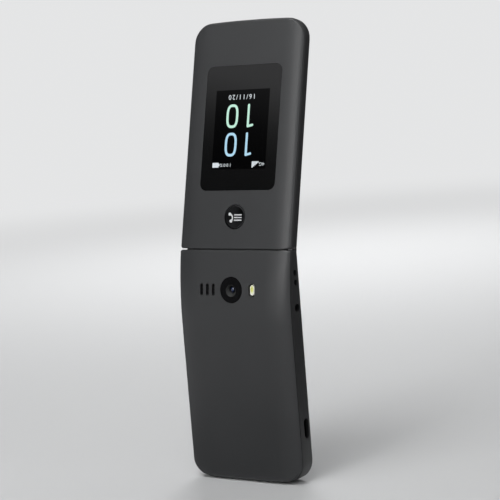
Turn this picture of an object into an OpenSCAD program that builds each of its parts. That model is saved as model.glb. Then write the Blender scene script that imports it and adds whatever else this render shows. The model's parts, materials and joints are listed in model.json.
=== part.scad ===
// Clamshell mobile phone, standing open at its stop.
// The lower half stands upright with its keypad towards -Y and its battery
// cover towards +Y. The lid leans over the keypad side by 180 - open_angle.
// Inside each half, x runs across the phone, y is depth from the keypad or
// screen side outwards, and z runs from the hinge axis to the far end.

/* [Overall] */
// Width of both halves
body_w = 58; // [57:0.5:60]
// Hinge axis to the far end of each half
half_len = 101; // [100.5:0.5:103]
// Angle between the halves at the open stop
open_angle = 165; // [155:1:170]
// Gap between the two halves when closed
close_gap = 0.6; // [0.5:0.05:0.8]
// Plan radius of the far corners
corner_r = 9.5; // [8:0.5:11]

/* [Lower half] */
// Depth of the lower half away from the hinge
base_t = 11.2; // [11:0.1:12]
// Depth of the battery cover's skirt at its side seam
cover_skirt = 3.1; // [2.9:0.1:3.3]
// Length over which the back curves down to the hinge
curve_len = 31.5; // [30:0.5:33]
// Radius of that curve
curve_r = 115; // [110:1:125]
// Wall thickness of the battery cover
cover_wall = 1; // [0.9:0.05:1.1]
// Thickness of the keypad housing
keypad_housing_t = 1.6; // [1.5:0.05:1.7]
// Radius of the camera disc
camera_r = 5.55; // [5.2:0.05:5.8]
// Hinge axis to the middle of the camera
camera_z = 16.1; // [15.5:0.1:16.5]
// Distance of the flash from the middle
flash_x = 10.7; // [10:0.1:11.5]
// Spacing of the loudspeaker slots
slot_pitch = 3.1; // [2.8:0.1:3.4]

/* [Lid] */
// Depth of the lid
lid_t = 6.34; // [6.2:0.02:6.6]
// Depth of the outer cover's skirt at its side seam
lid_skirt = 1.8; // [1.7:0.05:1.9]
// Width of the outer window
window_w = 39; // [37:0.5:40]
// Length of the outer window
window_len = 55.2; // [53:0.5:56]
// Hinge axis to the middle of the outer window
window_z = 52.7; // [52:0.1:54]
// Hinge axis to the middle of the round button
lid_button_z = 13.5; // [13.2:0.1:14]
// Radius of the round button
lid_button_r = 5.3; // [5:0.1:5.4]

/* [Hinge] */
// Radius of the lid's barrel and of the two knuckles
barrel_r = 5.2; // [5:0.05:5.25]
// Length of the lid's barrel
barrel_len = 44.8; // [44:0.2:45]
// Thickness of each knuckle
knuckle_t = 2.6; // [2.4:0.1:2.7]
// Radius of the steel hinge shaft
shaft_r = 1.6; // [1.4:0.05:1.7]

/* [Keys] */
// Number key, across
digit_key_w = 15.4; // [14.5:0.1:15.6]
// Number key, along the phone
digit_key_len = 9.2; // [8.8:0.1:9.4]
// Spacing of the number keys across
digit_pitch_x = 16.4; // [16.2:0.1:16.6]
// Spacing of the number rows
digit_pitch_z = 10.8; // [10.4:0.1:11]
// Hinge axis to the first row of numbers
digit_first_z = 57; // [56.5:0.1:57.5]
// Radius of the navigation ring
nav_r = 10.6; // [10:0.1:10.8]
// Radius of the OK key
ok_r = 4.7; // [4.4:0.1:5]

/* [Hidden] */

eps = 0.01;
lean = 180 - open_angle;
half_w = body_w / 2;
shell_steps = 8;
arc_fn = 48;

// Depths in each half, counted from the hinge axis
edge_round = 1;
face_y = close_gap / 2;
base_rear_y = face_y + base_t;
housing_rear_y = face_y + keypad_housing_t;
lid_rear_y = face_y + lid_t;
lid_seam_y = lid_rear_y - lid_skirt;

// The lid's top front edge and the base's back bound the phone front to back
lid_tip_y = -(half_len - edge_round) * sin(lean) + face_y * cos(lean);
axis_y = -(base_rear_y + lid_tip_y) / 2;
axis_z = half_len;

// The end faces at the hinge lie along the plane that halves the open angle
end_slope = tan(lean / 2);
base_end = 0.15;
lid_end = 0.55;
cover_edge = 5;
lid_cover_edge = 3.8;
seam_gap = 0.1;
seam_notch = 0.35;
far_crown = 0.4;
near_r = 1;

// Clearances
turn_gap = 0.3;
key_gap = 0.22;
fit_gap = 0.15;
barrel_clear_r = barrel_r + turn_gap;
knuckle_x = barrel_len / 2 + 0.2;
knuckle_end = knuckle_x + knuckle_t;
knuckle_room = knuckle_end + turn_gap;

// Hinge: a detent cartridge on one side, a hollow pivot for the flat cable on the other
running_gap = 0.05;
sleeve_r = 2.6;
sleeve_bore_r = 1.9;
sleeve_len = 7;
cartridge_r = 3.2;
cartridge_len = 19;

// Inside of the base
recess_y = face_y + 0.45;
panel_y = recess_y + 0.75;
dome_y = 2.85;
dome_sheet_y = 3.05;
board_y = 3.2;
board_t = 0.8;
cavity_y = 5;
bay_floor_y = 5.6;
bay_w = 40;
bay_len = 57.5;
bay_z = 59.5;
bay_end = bay_z - bay_len / 2;
battery_t = 4.4;
contact_x = [-4.5:3:4.5];
bezel_foot_y = 8.4;
lens_r = 1.6;
jack_z = 24.3;
jack_y = 3.9;
jack_r = 1.75;
usb_z = 77.1;
usb_y = 3.9;
usb_w = 8.8;
usb_t = 3.2;
lanyard_z = [9.2, 13.4];
lanyard_y = 3.6;
volume_z = 31;
volume_y = 4.4;
volume_len = 17;
rocker_pivot_x = half_w - 1.4;
rocker_pivot_r = 0.4;
speaker_x = 12.4;
speaker_mid_x = 13.8;
motor_x = -19.2;
motor_z = 13;
motor_r = 4;
tab_len = 5;
tab_t = 0.8;
tab_x = half_w - 1.15;
screw_places = [[-23.2, 35], [23.2, 35], [-23.2, 93.2], [23.2, 93.2]];
screw_head_r = 1.5;
screw_r = 0.8;

// Inside of the lid
pane_t = 0.8;
screen_y = face_y + 1;
screen_t = 1.6;
web_y = screen_y + screen_t;
web_t = 0.5;
screen_z = 56;
screen_w = 51;
screen_len = 68;
pane_w = 52.6;
pane_len = 83;
pane_z = 56.5;
cover_inner_y = lid_rear_y - 1.25;
window_t = 0.76;
window_y = lid_rear_y - window_t;
outer_screen_z = 51.9;
earpiece_z = 94;
bumper_x = 22.4;
bumper_z = 96.4;
bumper_r = 1.2;
bumper_proud = close_gap - 0.1;

// Keys: a cap through the housing, a flange behind it and a nub over the dome
key_top_y = face_y + 0.15;
flange_y = panel_y + fit_gap;
flange_t = 0.3;
nub_y = 2.5;
flange_lip = 0.4;
key_corner = 1.6;

digit_rows = [["key_1", "key_2", "key_3"], ["key_4", "key_5", "key_6"],
    ["key_7", "key_8", "key_9"], ["key_star", "key_0", "key_hash"]];

// name, x, z, width, length
function_keys = [
    ["key_soft_left", -18.6, 15.9, 12.4, 8], ["key_soft_right", 18.6, 15.9, 12.4, 8],
    ["key_camera", -18.6, 33.4, 12.4, 8], ["key_message", 18.6, 33.4, 12.4, 8],
    ["key_call", -16.4, 45.3, 15.4, 7.4], ["key_back", 0, 45.3, 15.4, 7.4],
    ["key_end", 16.4, 45.3, 15.4, 7.4]];
digit_keys = [for (row = [0:3], column = [0:2])
    [digit_rows[row][column], (column - 1) * digit_pitch_x, digit_first_z + row * digit_pitch_z,
        digit_key_w, digit_key_len]];
keys = concat(function_keys, digit_keys);
nav_z = 25.6;
nav_mid_r = (nav_r + ok_r) / 2;
ring_bore_r = ok_r + 0.3;

shell_grey = "#45484a";
shell_edge = "#393b3d";
gloss_black = "#0c0c0e";
key_grey = "#2d2f31";
board_green = "#1d4a34";
steel = "#b9bcc0";
brass = "#c9a75c";

// ---- Placing: one half upright, the other leaning by the open angle ----

module in_base() {
    translate([0, axis_y, axis_z]) mirror([0, 0, 1]) children();
}

module in_lid() {
    translate([0, axis_y, axis_z]) rotate([lean, 0, 0]) children();
}

// ---- Plan outlines in [x, z], from the hinge end round to the far end ----

function arc(centre, r, from, to, steps) =
    [for (k = [0:steps]) centre + r * [cos(from + (to - from) * k / steps), sin(from + (to - from) * k / steps)]];

// One side of the plan outline, drawn in by inset, starting at z = near
function side_outline(inset, near) =
    let (x = half_w - inset, r = max(corner_r - inset, 1), far = half_len - inset)
    let (start = near + near_r)
    concat(
        arc([x - near_r, start], near_r, -90, 0, 3),
        [for (k = [1:shell_steps]) [x, start + (curve_len - start) * k / shell_steps]],
        arc([x - r, far - far_crown - r], r, 0, 90, shell_steps),
        [for (k = [1:2]) let (t = 1 - k / 3) [(x - r) * t, far - far_crown * t * t]]);

// How far the back of the base has come down at z
function back_drop(z) = z < curve_len ? curve_r - sqrt(curve_r * curve_r - pow(curve_len - z, 2)) : 0;

// ---- Shells: stacked outlines from a front surface to a back surface ----

// A ring at depth t (0 at the front surface, 1 at the back), as 3-D points
function ring(t, inset, near_trim, end_at, front, back) =
    let (y0 = front(0) + t * (back(0) - front(0)),
        half = side_outline(inset, end_at - end_slope * y0 + near_trim),
        n = len(half),
        loop = concat(half, [for (k = [n - 1:-1:0]) [-half[k].x, half[k].y]]))
    [for (p = loop) [p.x, front(p.y) + t * (back(p.y) - front(p.y)), p.y]];

// rings: [[t, inset, near_trim], ...]; front and back: depth as a function of z
module shell(rings, end_at, front, back) {
    loops = [for (r = rings) ring(r[0], r[1], r[2], end_at, front, back)];
    n = len(loops[0]);
    last = (len(loops) - 1) * n;
    walls = [for (j = [0:len(loops) - 2], k = [0:n - 1])
        let (a = j * n + k, b = j * n + (k + 1) % n, c = b + n, d = a + n)
        each [[a, b, c], [a, c, d]]];
    front_cap = [for (k = [0:n / 2 - 2]) each [[k, n - 1 - k, n - 2 - k], [k, n - 2 - k, k + 1]]];
    back_cap = [for (f = front_cap) [f[0] + last, f[2] + last, f[1] + last]];
    polyhedron(points = [for (l = loops) each l], faces = concat(front_cap, walls, back_cap));
}

// A quarter-ellipse edge: width across, full depth, seam inset at its foot
function ellipse_edge(width, foot, steps, trim) =
    [for (k = [0:steps]) let (a = 90 * k / steps)
        [sin(a), foot + width * (1 - cos(a)), k == steps ? trim : 0]];

// The rounded front edge of a half, t in parts of that half's depth
function front_edge(depth) =
    [for (k = [0:3]) let (a = 30 * k)
        [edge_round * (1 - cos(a)) / depth, edge_round * (1 - sin(a)), k == 0 ? 0.3 : 0]];

// ---- Plates and holes seen square on ----

function rounded_outline(w, l, r) =
    concat(arc([w / 2 - r, l / 2 - r], r, 0, 90, 6), arc([r - w / 2, l / 2 - r], r, 90, 180, 6),
        arc([r - w / 2, r - l / 2], r, 180, 270, 6), arc([w / 2 - r, r - l / 2], r, 270, 360, 6));

// A rounded plate from depth y0 to y1, w across and l along the phone
module plate(x, z, w, l, r, y0, y1) {
    translate([x, y1, z]) rotate([90, 0, 0]) linear_extrude(y1 - y0) polygon(rounded_outline(w, l, r));
}

// A round bar along the depth
module post(x, z, r, y0, y1) {
    translate([x, y1, z]) rotate([90, 0, 0]) cylinder(r = r, h = y1 - y0, $fn = arc_fn);
}

// A round bar on the hinge axis
module axle(x0, x1, r) {
    translate([x0, 0, 0]) rotate([0, 90, 0]) cylinder(r = r, h = x1 - x0, $fn = arc_fn);
}

module block(x0, x1, y0, y1, z0, z1) {
    translate([x0, y0, z0]) cube([x1 - x0, y1 - y0, z1 - z0]);
}

// A slot with round ends, cut from the side wall inwards
module side_slot(x0, x1, y, z, t, l) {
    translate([x0, y, z]) rotate([0, 90, 0]) linear_extrude(x1 - x0) polygon(rounded_outline(l, t, t / 2 - eps));
}

// ---- Lower half ----

base_front = function(z) face_y;
base_split = function(z) housing_rear_y;
base_seam = function(z) base_rear_y - cover_skirt - 0.75 * back_drop(z);
frame_top = function(z) base_seam(z) - seam_gap;
cover_foot = function(z) base_seam(z) + seam_gap;
base_back = function(z) base_rear_y - back_drop(z);
cover_room = function(z) base_rear_y - back_drop(z) - cover_wall;
deck_foot = function(z) housing_rear_y + 0.6;
deck_top = function(z) base_rear_y - back_drop(z) - cover_wall - 0.25;
room_foot = function(z) base_seam(z) - 1;

module key_openings() {
    for (k = keys) plate(k[1], k[2], k[3] + 2 * key_gap, k[4] + 2 * key_gap, key_corner, face_y, panel_y + eps);
    post(0, nav_z, nav_r + key_gap, face_y, panel_y + eps);
}

// Front housing: the key panel sits in a shallow tray, the two knuckles stand at its hinge end
module keypad_housing() {
    color(shell_grey) in_base() difference() {
        union() {
            shell(concat(front_edge(keypad_housing_t), [[1, 0.05, 0]]), base_end, base_front, base_split);
            for (side = [-1, 1]) translate([side * (knuckle_x + knuckle_end) / 2, 0, 0])
                axle(-knuckle_t / 2, knuckle_t / 2, barrel_r);
        }
        plate(0, 52.4, body_w - 7, 84.4, 5, face_y - 1, recess_y);
        plate(0, 53.6, body_w - 4.6, 89, 6.5, panel_y, housing_rear_y + 1);
        key_openings();
        axle(-knuckle_x, knuckle_x, barrel_clear_r);
        axle(-knuckle_end - eps, 0, shaft_r);
        axle(0, knuckle_end + eps, sleeve_r);
        microphone_hole();
    }
}

module microphone_hole() {
    post(0, half_len - 2.9, 0.5, face_y - 1, housing_rear_y + 1);
}

// Tabs on the battery cover's skirt, which drop into slots in the chassis rim
module cover_tabs(grow) {
    for (side = [-1, 1], z = [44, 64, 84]) translate([side * (tab_x - tab_t / 2), 0, 0])
        block(-tab_t / 2 - grow, tab_t / 2 + grow, base_rear_y - cover_skirt - 1.4 - grow,
            base_rear_y - cover_skirt + 1, z - tab_len / 2 - grow, z + tab_len / 2 + grow);
}

// Chassis: side walls, rim and a deck under the battery cover with its pockets
module base_frame() {
    color(shell_edge) in_base() difference() {
        union() {
            shell([[0, 0.05, 0], [0.4, 0, 0], [0.85, 0.08, 0], [1, seam_notch, 0]], base_end, base_split, frame_top);
            shell([[0, 3.7, 6], [0.88, 3.7, 6], [0.97, 4.3, 6.3], [1, 5.6, 7]], base_end, deck_foot, deck_top);
        }
        plate(0, 53.6, body_w - 4.6, 89, 6.5, housing_rear_y - 1, cavity_y);
        plate(0, bay_z, bay_w, bay_len, 1.5, bay_floor_y, base_rear_y);
        block(-17.5, 17.5, cavity_y - eps, bay_floor_y + eps, 40, 58);
        block(-8, 8, cavity_y - eps, bay_floor_y + 3.4, bay_end - 2.6, bay_end + eps);
        axle(-knuckle_room, knuckle_room, barrel_clear_r);
        post(0, camera_z, camera_r + 0.15, cavity_y - 1, base_rear_y);
        plate(-flash_x, camera_z, 4.2, 7, 1, cavity_y - 1, base_rear_y);
        plate(speaker_mid_x, camera_z, 14.4, 11.4, 1, bay_floor_y, base_rear_y);
        post(motor_x, motor_z, motor_r + 0.1, bay_floor_y, base_rear_y);
        port_openings();
        lanyard_eye();
        volume_opening();
        cover_tabs(0.25);
        screw_holes();
    }
}

module port_openings() {
    translate([0, jack_y, jack_z]) axle(-half_w - 1, -half_w + 4, jack_r);
    block(-half_w + 1, -13, housing_rear_y - 1, jack_y + 2.1, jack_z - 3.2, jack_z + 3.2);
    side_slot(-half_w - 1, -half_w + 4, usb_y, usb_z, usb_t + 0.2, usb_w + 0.2);
    block(-half_w + 1.2, -20.3, housing_rear_y - 1, usb_y + usb_t / 2 + 0.1, usb_z - usb_w / 2 - 0.2,
        usb_z + usb_w / 2 + 0.2);
}

// Two holes in the side wall join behind a bar, so that a wrist strap can be looped round it
module lanyard_eye() {
    for (z = lanyard_z) side_slot(-half_w - 1, -half_w + 2.6, lanyard_y, z, 2.2, 2.7);
    block(-half_w + 1.7, -half_w + 3, lanyard_y - 1.1, lanyard_y + 1.1, lanyard_z[0] - 1, lanyard_z[1] + 1);
}

module volume_opening() {
    post(rocker_pivot_x, volume_z, rocker_pivot_r + running_gap, volume_y - 2.4, volume_y + 2.4);
    side_slot(half_w - 4, half_w + 1, volume_y, volume_z, 3, volume_len + 0.6);
    block(half_w - 3.6, half_w - 1.2, volume_y - 1.9, volume_y + 1.9, volume_z - volume_len / 2 - 1.4,
        volume_z + volume_len / 2 + 1.4);
}

module screw_holes() {
    for (p = screw_places) {
        post(p.x, p.y, screw_head_r + 0.1, base_rear_y - cover_wall - 1.6, base_rear_y);
        post(p.x, p.y, screw_r, cavity_y - 1, base_rear_y);
    }
}

module base_screws() {
    color(steel) in_base() for (p = screw_places) difference() {
        union() {
            post(p.x, p.y, screw_head_r, base_rear_y - cover_wall - 1.6, base_rear_y - cover_wall - 0.8);
            post(p.x, p.y, screw_r, cavity_y - 0.2, base_rear_y - cover_wall - 1.6 + eps);
        }
        for (turn = [0, 90]) translate([p.x, base_rear_y - cover_wall - 1, p.y]) rotate([0, turn, 0])
            cube([1.7, 0.6, 0.35], center = true);
    }
}

// Circuit board with bays for the jack, the port and the camera
module main_board() {
    color(board_green) in_base() difference() {
        plate(0, 53.6, body_w - 5.6, 88, 6, board_y, board_y + board_t);
        block(-half_w, -12.8, 0, 9, jack_z - 3.4, jack_z + 3.4);
        block(-half_w, -20.1, 0, 9, usb_z - usb_w / 2 - 0.4, usb_z + usb_w / 2 + 0.4);
        block(half_w - 6, half_w, 0, 9, volume_z - 12, volume_z + 12);
        axle(-half_w, half_w, barrel_clear_r + 0.5);
    }
}

module dome(x, z) {
    translate([x, 0, z]) rotate([90, 0, 0]) translate([0, 0, -dome_sheet_y - eps])
        cylinder(r1 = 2.2, r2 = 1.2, h = dome_sheet_y - dome_y, $fn = 32);
}

// Snap domes on a thin sheet under the keys
module dome_sheet() {
    color(steel) in_base() difference() {
        union() {
            plate(0, 53.6, body_w - 7, 80, 4, dome_sheet_y, board_y);
            for (k = keys) dome(k[1], k[2]);
            dome(0, nav_z);
            for (a = [0:90:270]) dome(nav_mid_r * cos(a), nav_z + nav_mid_r * sin(a));
        }
        block(-half_w, -12.8, 0, 9, jack_z - 3.4, jack_z + 3.4);
        block(-half_w, -20.1, 0, 9, usb_z - usb_w / 2 - 0.4, usb_z + usb_w / 2 + 0.4);
    }
}

module battery() {
    color("#26282b") in_base() difference() {
        plate(0, bay_z + 0.3, bay_w - 0.6, bay_len - 1.2, 1.2, bay_floor_y, bay_floor_y + battery_t);
        for (x = contact_x) block(x - 0.9, x + 0.9, bay_floor_y + 1, bay_floor_y + 3, bay_end - 1, bay_end + 1.4);
    }
}

// Block on the circuit board whose blades reach through the end wall of the battery bay
module battery_contacts() {
    color(brass) in_base() {
        block(-7.6, 7.6, board_y + board_t, bay_floor_y + 3, bay_end - 2.4, bay_end - 0.3);
        for (x = contact_x) block(x - 0.5, x + 0.5, bay_floor_y + 1.3, bay_floor_y + 2.7,
            bay_end - 0.3 - eps, bay_end + 1.25);
    }
}

module card_socket(x, w, l) {
    difference() {
        block(x - w / 2, x + w / 2, board_y + board_t, board_y + board_t + 1.5, 49 - l / 2, 49 + l / 2);
        block(x - w / 2 + 1, x + w / 2 - 1, board_y + board_t + 0.4, board_y + board_t + 1.2, 49 - l / 2 + 1, 49 + l);
        block(x - w / 2 + 3, x + w / 2 - 3, board_y + board_t + 1, board_y + board_t + 2, 49 - l / 4, 49 + l);
    }
}

module sim_socket() {
    color(steel) in_base() card_socket(-8.6, 16, 15);
}

module memory_card_socket() {
    color(steel) in_base() card_socket(8.6, 14, 14);
}

module camera_module() {
    color("#1a1b1d") in_base() {
        block(-3.9, 3.9, board_y + board_t, 7.2, camera_z - 3.9, camera_z + 3.9);
        post(0, camera_z, 3.1, 7.2 - eps, bezel_foot_y);
    }
}

// Solid that follows the back of the base, for parts that finish flush with the cover
module under_back(trim) {
    translate([-half_w, 0, 0]) rotate([90, 0, 90]) linear_extrude(body_w)
        polygon(concat([[0, 0]], [for (z = [0:3:36]) [base_rear_y - back_drop(z) - trim, z]], [[0, 36]]));
}

// Black camera disc, flush with the cover, with a stepped funnel down to the lens
module camera_bezel() {
    color(gloss_black) in_base() difference() {
        intersection() {
            post(0, camera_z, camera_r, bezel_foot_y, base_rear_y);
            under_back(0);
        }
        post(0, camera_z, lens_r, bezel_foot_y - eps, bezel_foot_y + 1);
        translate([0, bezel_foot_y + 0.9, camera_z]) rotate([-90, 0, 0])
            cylinder(r1 = lens_r, r2 = 3, h = 1.6, $fn = arc_fn);
    }
}

module camera_lens() {
    color("#1b2740") in_base() post(0, camera_z, lens_r, bezel_foot_y, bezel_foot_y + 0.8);
}

// Lamp on the circuit board with a light pipe up to a window just below the cover
module flash_lens() {
    color("#f2e9c0") in_base() {
        block(-flash_x - 1.7, -flash_x + 1.7, board_y + board_t, 6.4 + eps, camera_z - 2.9, camera_z + 2.9);
        intersection() {
            plate(-flash_x, camera_z, 2.5, 5.1, 1.24, 6.4, base_rear_y);
            under_back(0.35);
        }
    }
}

module loudspeaker() {
    color(gloss_black) in_base() difference() {
        plate(speaker_mid_x, camera_z, 14.2, 11.2, 1, bay_floor_y, 8.2);
        plate(speaker_mid_x, camera_z, 12.4, 9.4, 2, 7.9, 9);
    }
}

module vibration_motor() {
    color(steel) in_base() post(motor_x, motor_z, motor_r, bay_floor_y, bay_floor_y + 2.4);
}

module headphone_jack() {
    color(gloss_black) in_base() difference() {
        block(-half_w + 1.2, -13.4, 2, jack_y + 1.95, jack_z - 3, jack_z + 3);
        translate([0, jack_y, jack_z]) axle(-half_w, -14.4, jack_r);
    }
}

// Receptacle shell with its contact tongue
module usb_port() {
    color(steel) in_base() {
        difference() {
            side_slot(-half_w + 1.3, -20.7, usb_y, usb_z, usb_t, usb_w);
            side_slot(-half_w + 1, -21.5, usb_y, usb_z, usb_t - 0.6, usb_w - 0.6);
        }
        block(-half_w + 2.2, -21, usb_y - 0.35, usb_y + 0.35, usb_z - 3.3, usb_z + 3.3);
    }
}

module hinge_shaft() {
    color(steel) in_base() axle(-knuckle_end, -knuckle_x + sleeve_len, shaft_r);
}

// Hollow pivot: the flat cable between the halves passes through it
module hinge_sleeve() {
    color(steel) in_base() difference() {
        axle(knuckle_x - sleeve_len, knuckle_end, sleeve_r);
        axle(0, knuckle_end + 1, sleeve_bore_r);
    }
}

// Battery cover: skirt, rounded long edges, and a back that curves down to the hinge
module rear_cover() {
    color(shell_grey) in_base() {
        cover_tabs(0);
        difference() {
            shell(ellipse_edge(cover_edge, seam_notch, 6, 0.2), base_end, cover_foot, base_back);
            shell([[0, cover_wall + 0.2, -4], [0.45, cover_wall + 0.45, -4], [0.78, cover_wall + 1.9, -4],
                [0.93, cover_wall + 3.2, -4], [1, cover_wall + 4.6, -4]], base_end, room_foot, cover_room);
            post(0, camera_z, camera_r + 0.15, 6, base_rear_y + 1);
            plate(-flash_x, camera_z, 3.3, 5.9, 1.64, 6, base_rear_y + 1);
            for (k = [-1:1]) plate(speaker_x + k * slot_pitch, camera_z, 1.5, 5.3, 0.74, 6, base_rear_y + 1);
            block(-5.7, 5.7, base_rear_y - cover_skirt - 1, base_rear_y - cover_skirt + 1, half_len - 3, half_len + 1);
        }
    }
}

// Dust mesh stuck to the inside of the cover behind the slots
module speaker_mesh() {
    color(steel) in_base() difference() {
        intersection() {
            plate(speaker_x, camera_z, 8.8, 7.4, 1, 8, base_rear_y);
            under_back(cover_wall + 0.03);
        }
        under_back(cover_wall + 0.2);
    }
}

// ---- Keys ----

module key_cap(k) {
    plate(k[1], k[2], k[3], k[4], key_corner - key_gap, key_top_y + 0.2, flange_y + eps);
    translate([k[1], key_top_y + 0.2 + eps, k[2]]) rotate([90, 0, 0])
        linear_extrude(0.2, scale = [1 - 0.5 / k[3], 1 - 0.5 / k[4]])
            polygon(rounded_outline(k[3], k[4], key_corner - key_gap));
    plate(k[1], k[2], k[3] + 2 * flange_lip, k[4] + 2 * flange_lip, key_corner, flange_y, flange_y + flange_t);
    post(k[1], k[2], 1, flange_y, nub_y);
}

module key(name) {
    color(key_grey) in_base() for (k = keys) if (k[0] == name) key_cap(k);
}

module turned(points) {
    translate([0, 0, nav_z]) rotate([90, 0, 0]) rotate_extrude($fn = 96) polygon([for (p = points) [p.x, -p.y]]);
}

// Ring with a dished top that dips towards the OK key
module nav_ring() {
    color(steel) in_base() {
        turned([[ring_bore_r, key_top_y + 0.12], [ok_r + 1.2, key_top_y + 0.05], [nav_r - 0.9, key_top_y - 0.1],
            [nav_r - 0.2, key_top_y], [nav_r, key_top_y + 0.2], [nav_r, flange_y], [nav_r + flange_lip, flange_y],
            [nav_r + flange_lip, flange_y + flange_t], [ring_bore_r, flange_y + flange_t]]);
        for (a = [0:90:270]) post((nav_mid_r + 0.6) * cos(a), nav_z + (nav_mid_r + 0.6) * sin(a), 0.8, flange_y, nub_y);
    }
}

module key_ok() {
    color(key_grey) in_base() turned([[0, key_top_y + 0.05], [ok_r - 0.4, key_top_y + 0.1], [ok_r, key_top_y + 0.3],
        [ok_r, flange_y + flange_t], [1, flange_y + flange_t], [1, nub_y], [0, nub_y]]);
}

// Rocker on the side wall, proud of it, with a flange behind the wall and a pin across its middle
module volume_rocker() {
    color(shell_grey) in_base() {
        side_slot(half_w - 2.2, half_w + 0.5, volume_y, volume_z, 2.4, volume_len);
        side_slot(half_w - 2.6, half_w - 1.5, volume_y, volume_z, 3, volume_len + 1.4);
        post(rocker_pivot_x, volume_z, rocker_pivot_r, volume_y - 2.35, volume_y + 2.35);
    }
}

// ---- Lid ----

lid_front = function(z) face_y;
lid_split = function(z) lid_seam_y;
lid_back = function(z) lid_rear_y;
lid_room_foot = function(z) lid_seam_y - 1;
lid_room = function(z) cover_inner_y;

// Inner frame with the hinge barrel, the screen's tray on one side and the circuit tray on the other
module lid_frame() {
    color(shell_edge) in_lid() difference() {
        union() {
            shell(concat(front_edge(lid_seam_y - face_y), [[0.8, 0.06, 0], [0.94, 0.16, 0], [1, seam_notch, 0]]),
                lid_end, lid_front, lid_split);
            axle(-barrel_len / 2, barrel_len / 2, barrel_r);
        }
        plate(0, pane_z, pane_w, pane_len, 4, face_y - 1, screen_y + eps);
        plate(0, screen_z, screen_w, screen_len, 1.5, screen_y - eps, web_y);
        plate(0, 56, body_w - 6, 80, 6, web_y + web_t, lid_rear_y);
        plate(0, lid_button_z, 14, 13.2, 2, web_y + web_t, lid_rear_y);
        for (side = [-1, 1]) translate([side * (barrel_len / 2 + knuckle_room) / 2, 0, 0])
            axle(-(knuckle_room - barrel_len / 2) / 2, (knuckle_room - barrel_len / 2) / 2, barrel_clear_r);
        axle(-barrel_len / 2 - eps, -barrel_len / 2 + cartridge_len, cartridge_r);
        axle(barrel_len / 2 - sleeve_len - 1, barrel_len / 2 + eps, sleeve_r + running_gap);
        earpiece_room();
    }
}

module earpiece_room() {
    plate(0, earpiece_z, 12.2, 5.2, 1, screen_y, web_y + 0.4);
}

// Outer cover: flat face, rounded long edges, a stepped opening for the window and a hole for the button
module lid_cover() {
    color(shell_grey) in_lid() difference() {
        shell(ellipse_edge(lid_cover_edge, seam_notch, 6, 0.2), lid_end, lid_split, lid_back);
        shell([[0, 1.2, -4], [0.7, 1.3, -4], [0.9, 1.9, -4], [1, 3.4, -4]], lid_end, lid_room_foot, lid_room);
        axle(-knuckle_room, knuckle_room, barrel_clear_r);
        plate(0, window_z, window_w + 0.1, window_len + 0.1, 3.25, window_y, lid_rear_y + 1);
        plate(0, window_z, window_w - 3, window_len - 3, 2, cover_inner_y - 1, window_y + eps);
        post(0, lid_button_z, lid_button_r + 0.15, 4, lid_rear_y + 1);
    }
}

module outer_window() {
    color(gloss_black) in_lid() plate(0, window_z, window_w, window_len, 3.2, window_y, lid_rear_y);
}

// Small screen under the outer window
module outer_display() {
    color("#101216") in_lid() plate(0, outer_screen_z, 31.6, 41, 0.6, web_y + web_t + 0.6, window_y);
}

module lid_board() {
    color(board_green) in_lid() plate(0, 55, 44, 66, 2, web_y + web_t, web_y + web_t + 0.6);
}

module inner_window() {
    color(gloss_black) in_lid() difference() {
        plate(0, pane_z, pane_w - 0.1, pane_len - 0.1, 3.9, screen_y - pane_t, screen_y);
        plate(0, earpiece_z, 9, 1.4, 0.69, 0, screen_y + 1);
    }
}

module main_display() {
    color("#101216") in_lid() plate(0, screen_z, screen_w, screen_len, 1.5, screen_y, web_y);
}

module earpiece() {
    color(gloss_black) in_lid() plate(0, earpiece_z, 12, 5, 1, screen_y + 0.1, web_y + 0.4);
}

module earpiece_mesh() {
    color(steel) in_lid() plate(0, earpiece_z, 8.9, 1.3, 0.64, screen_y - 0.4, screen_y);
}

// Soft bumpers on the screen's pane: they hold the gap when the phone is shut
module lid_bumpers() {
    color("#1c1d1f") in_lid() for (side = [-1, 1])
        post(side * bumper_x, bumper_z, bumper_r, face_y - bumper_proud, screen_y - pane_t);
}

module lid_magnet() {
    color(steel) in_lid() block(16, 21, web_y + web_t, web_y + web_t + 1, 88, 91);
}

// Snap dome under the round button
module lid_switch() {
    color(brass) in_lid() {
        plate(0, lid_button_z, 9, 8, 1, web_y + web_t, web_y + web_t + 0.3);
        post(0, lid_button_z, 2, web_y + web_t + 0.3 - eps, web_y + web_t + 0.6);
    }
}

// Detent barrel pressed into the lid; the shaft turns in its nose
module hinge_cartridge() {
    color(brass) in_lid() difference() {
        axle(-barrel_len / 2, -barrel_len / 2 + cartridge_len, cartridge_r);
        axle(-half_w, -knuckle_x + sleeve_len + 1, shaft_r + running_gap);
    }
}

// Round button with a dished face and a flange under the cover
module lid_button() {
    color(gloss_black) in_lid() translate([0, 0, lid_button_z]) rotate([90, 0, 0])
        rotate_extrude($fn = 96) polygon([for (p = [
            [0, lid_rear_y - 0.15], [lid_button_r - 0.7, lid_rear_y + 0.05], [lid_button_r - 0.2, lid_rear_y],
            [lid_button_r, lid_rear_y - 0.2], [lid_button_r, cover_inner_y - 0.2], [lid_button_r + 0.8, cover_inner_y - 0.2],
            [lid_button_r + 0.8, cover_inner_y - 0.6], [1, cover_inner_y - 0.6], [1, web_y + web_t + 0.95],
            [0, web_y + web_t + 0.95]]) [p.x, -p.y]]);
}

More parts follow.
